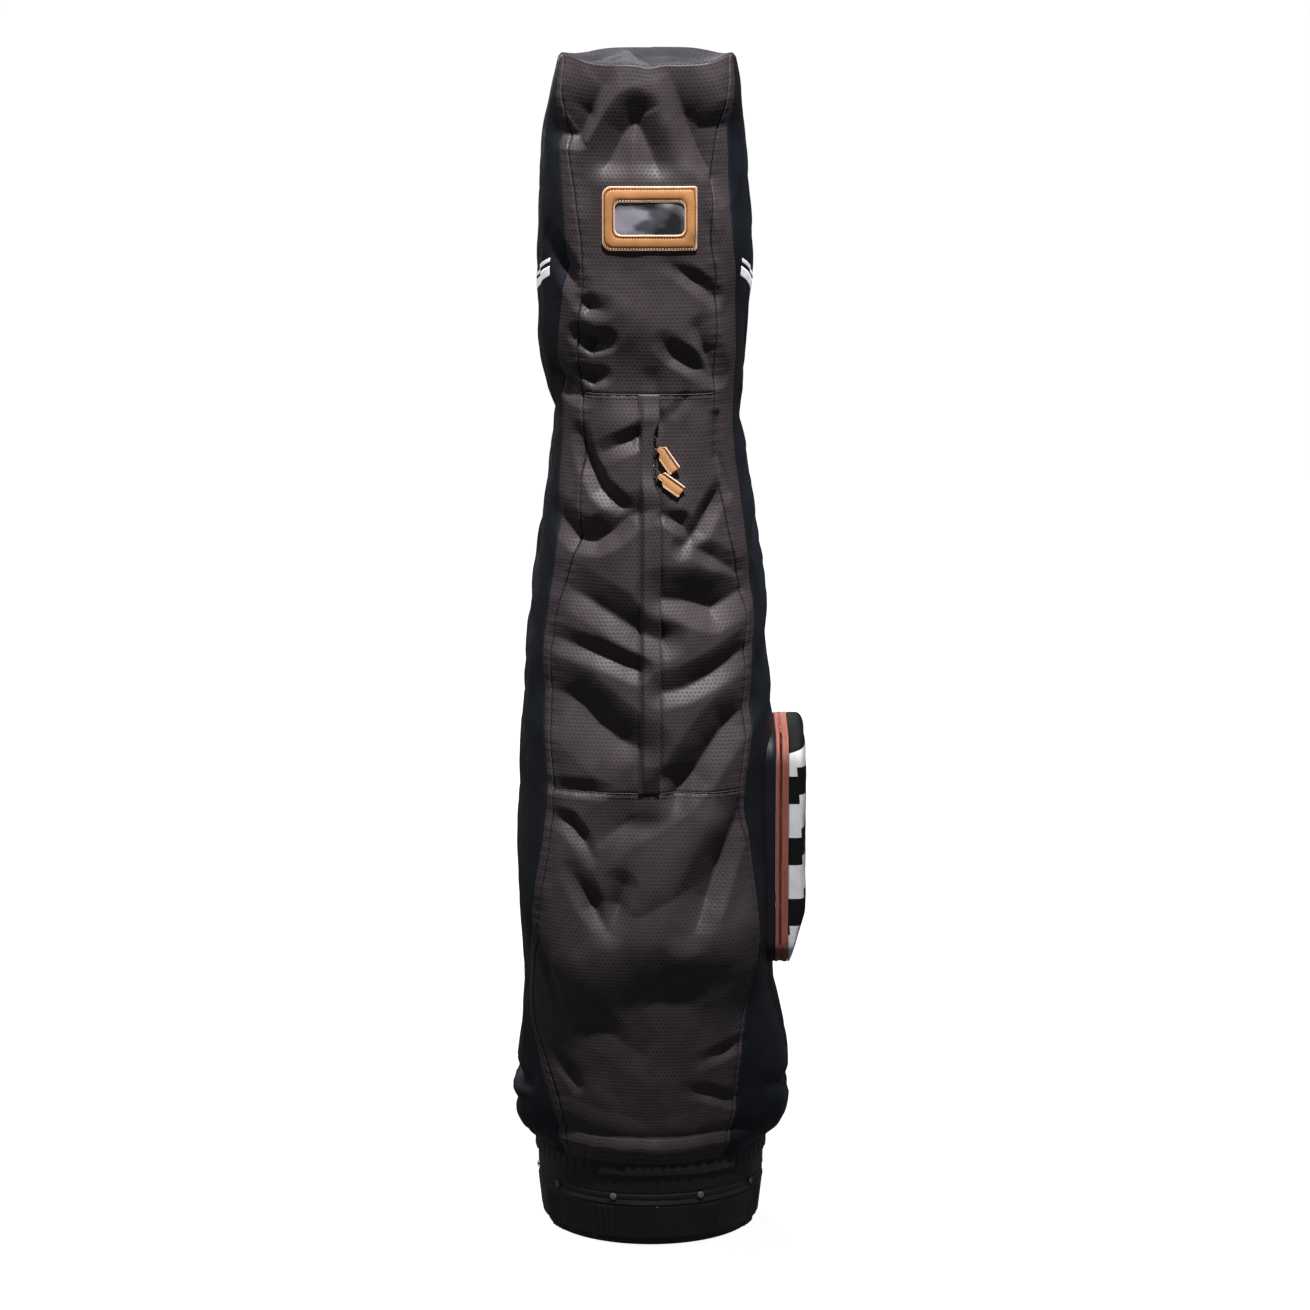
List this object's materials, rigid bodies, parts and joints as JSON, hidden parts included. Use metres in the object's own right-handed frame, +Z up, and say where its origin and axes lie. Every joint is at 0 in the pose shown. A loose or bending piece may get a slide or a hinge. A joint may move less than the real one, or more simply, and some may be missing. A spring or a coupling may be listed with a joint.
{
  "type": "golf bag with travel cover",
  "caption": "Golf bag standing inside its slip-on nylon travel cover, with a front zip under a flap, name window and side pocket.",
  "frame": {"origin": "centre of the underside of the base cup, on the floor", "axes": "+Z up along the bag, -Y out of the front with the zip and name window, +X to the side with the pocket"},
  "size_m": [0.3164, 0.2973, 1.274],
  "materials": {
    "honeycomb_nylon": "satin honeycomb weave",
    "side_nylon": "satin",
    "striped_canvas": "matt",
    "tan_leather": "satin",
    "black_leather": "satin",
    "moulded_black": "moulded",
    "rust_tape": "woven",
    "black_tape": "woven",
    "zip_metal": "polished",
    "clear_vinyl": "clear",
    "elastic": "matt",
    "bag_fabric": "matt",
    "aluminium_tube": "satin"
  },
  "bodies": {
    "bag": {"base_cup": "moulded_black", "base_band": "black_leather", "rivet_left_1": "zip_metal", "rivet_left_2": "zip_metal", "rivet_left_3": "zip_metal", "rivet_left_4": "zip_metal", "rivet_right_1": "zip_metal", "rivet_right_2": "zip_metal", "rivet_right_3": "zip_metal", "rivet_right_4": "zip_metal", "rivet_back": "zip_metal", "bag_floor_pad": "bag_fabric", "bag_tube": "bag_fabric", "top_cuff": "moulded_black", "cuff_divider": "bag_fabric", "stay_left": "aluminium_tube", "stay_right": "aluminium_tube", "bag_ball_pocket": "bag_fabric", "bag_side_pocket_left": "bag_fabric", "bag_side_pocket_right": "bag_fabric", "bag_handle": "black_leather", "pole_lower": "aluminium_tube", "pole_lock_collar": "moulded_black"},
    "pole": {"pole_upper": "aluminium_tube", "pole_head": "moulded_black"},
    "cover": {"cover_front_upper": "honeycomb_nylon", "cover_front_left": "honeycomb_nylon", "cover_front_right": "honeycomb_nylon", "cover_front_lower": "honeycomb_nylon", "cover_side_left": "side_nylon", "cover_side_right": "side_nylon", "cover_back": "side_nylon", "cover_crown": "honeycomb_nylon", "hem_elastic": "elastic", "zip_tape_left": "black_tape", "zip_tape_right": "black_tape", "zip_teeth_left": "zip_metal", "zip_teeth_right": "zip_metal", "zip_stop_top": "zip_metal", "zip_stop_bottom": "zip_metal", "window_frame": "tan_leather", "window_pane": "clear_vinyl", "pocket_gusset": "side_nylon", "pocket_tape_inner": "rust_tape", "pocket_teeth_inner": "zip_metal", "pocket_hinge_strip": "black_tape"},
    "flap": {"storm_flap": "honeycomb_nylon"},
    "upper_slider": {"slider_upper": "zip_metal", "pull_ring_upper": "zip_metal"},
    "upper_pull": {"pull_tab_upper": "tan_leather"},
    "lower_slider": {"slider_lower": "zip_metal", "pull_ring_lower": "zip_metal"},
    "lower_pull": {"pull_tab_lower": "tan_leather"},
    "pocket_lid": {"pocket_front": "striped_canvas", "pocket_tape_outer": "rust_tape", "pocket_teeth_outer": "zip_metal"},
    "side_slider": {"pocket_slider": "zip_metal", "pocket_pull_ring": "zip_metal"},
    "side_pull": {"pocket_pull_tab": "tan_leather"}
  },
  "joints": [
    {"name": "cover_lift", "type": "slide", "parent": "bag", "child": "cover", "axis": [0, 0, 1], "range_m": [0, 1.28]},
    {"name": "pole_height", "type": "slide", "parent": "bag", "child": "pole", "axis": [0, 0, 1], "range_m": [-0.3, 0]},
    {"name": "storm_flap_lift", "type": "hinge", "parent": "cover", "child": "flap", "pos_m": [-0.0125, -0.1274, 0.7046], "axis": [0, -0.0665, -0.9978], "range_deg": [0, 110]},
    {"name": "upper_slider_travel", "type": "slide", "parent": "cover", "child": "upper_slider", "axis": [0, 0.0665, 0.9978], "range_m": [0, 0.033]},
    {"name": "upper_pull_turn", "type": "hinge", "parent": "upper_slider", "child": "upper_pull", "pos_m": [0.0085, -0.11907, 0.87011], "axis": [-0.8192, -0.0382, -0.5723], "range_deg": [0, 90]},
    {"name": "lower_slider_travel", "type": "slide", "parent": "cover", "child": "lower_slider", "axis": [0, 0.0665, 0.9978], "range_m": [-0.333, 0]},
    {"name": "lower_pull_turn", "type": "hinge", "parent": "lower_slider", "child": "lower_pull", "pos_m": [0.0085, -0.121, 0.84106], "axis": [-0.5878, -0.0538, -0.8072], "range_deg": [0, 90]},
    {"name": "side_pocket_open", "type": "hinge", "parent": "cover", "child": "pocket_lid", "pos_m": [0.1472, 0, 0.2995], "axis": [0, 1, 0], "range_deg": [0, 32]},
    {"name": "side_slider_travel", "type": "slide", "parent": "cover", "child": "side_slider", "axis": [0, 0, 1], "range_m": [0, 0.175]},
    {"name": "side_pull_turn", "type": "hinge", "parent": "side_slider", "child": "side_pull", "pos_m": [0.1388, 0.0826, 0.323], "axis": [1, 0, 0], "range_deg": [0, 120]}
  ]
}
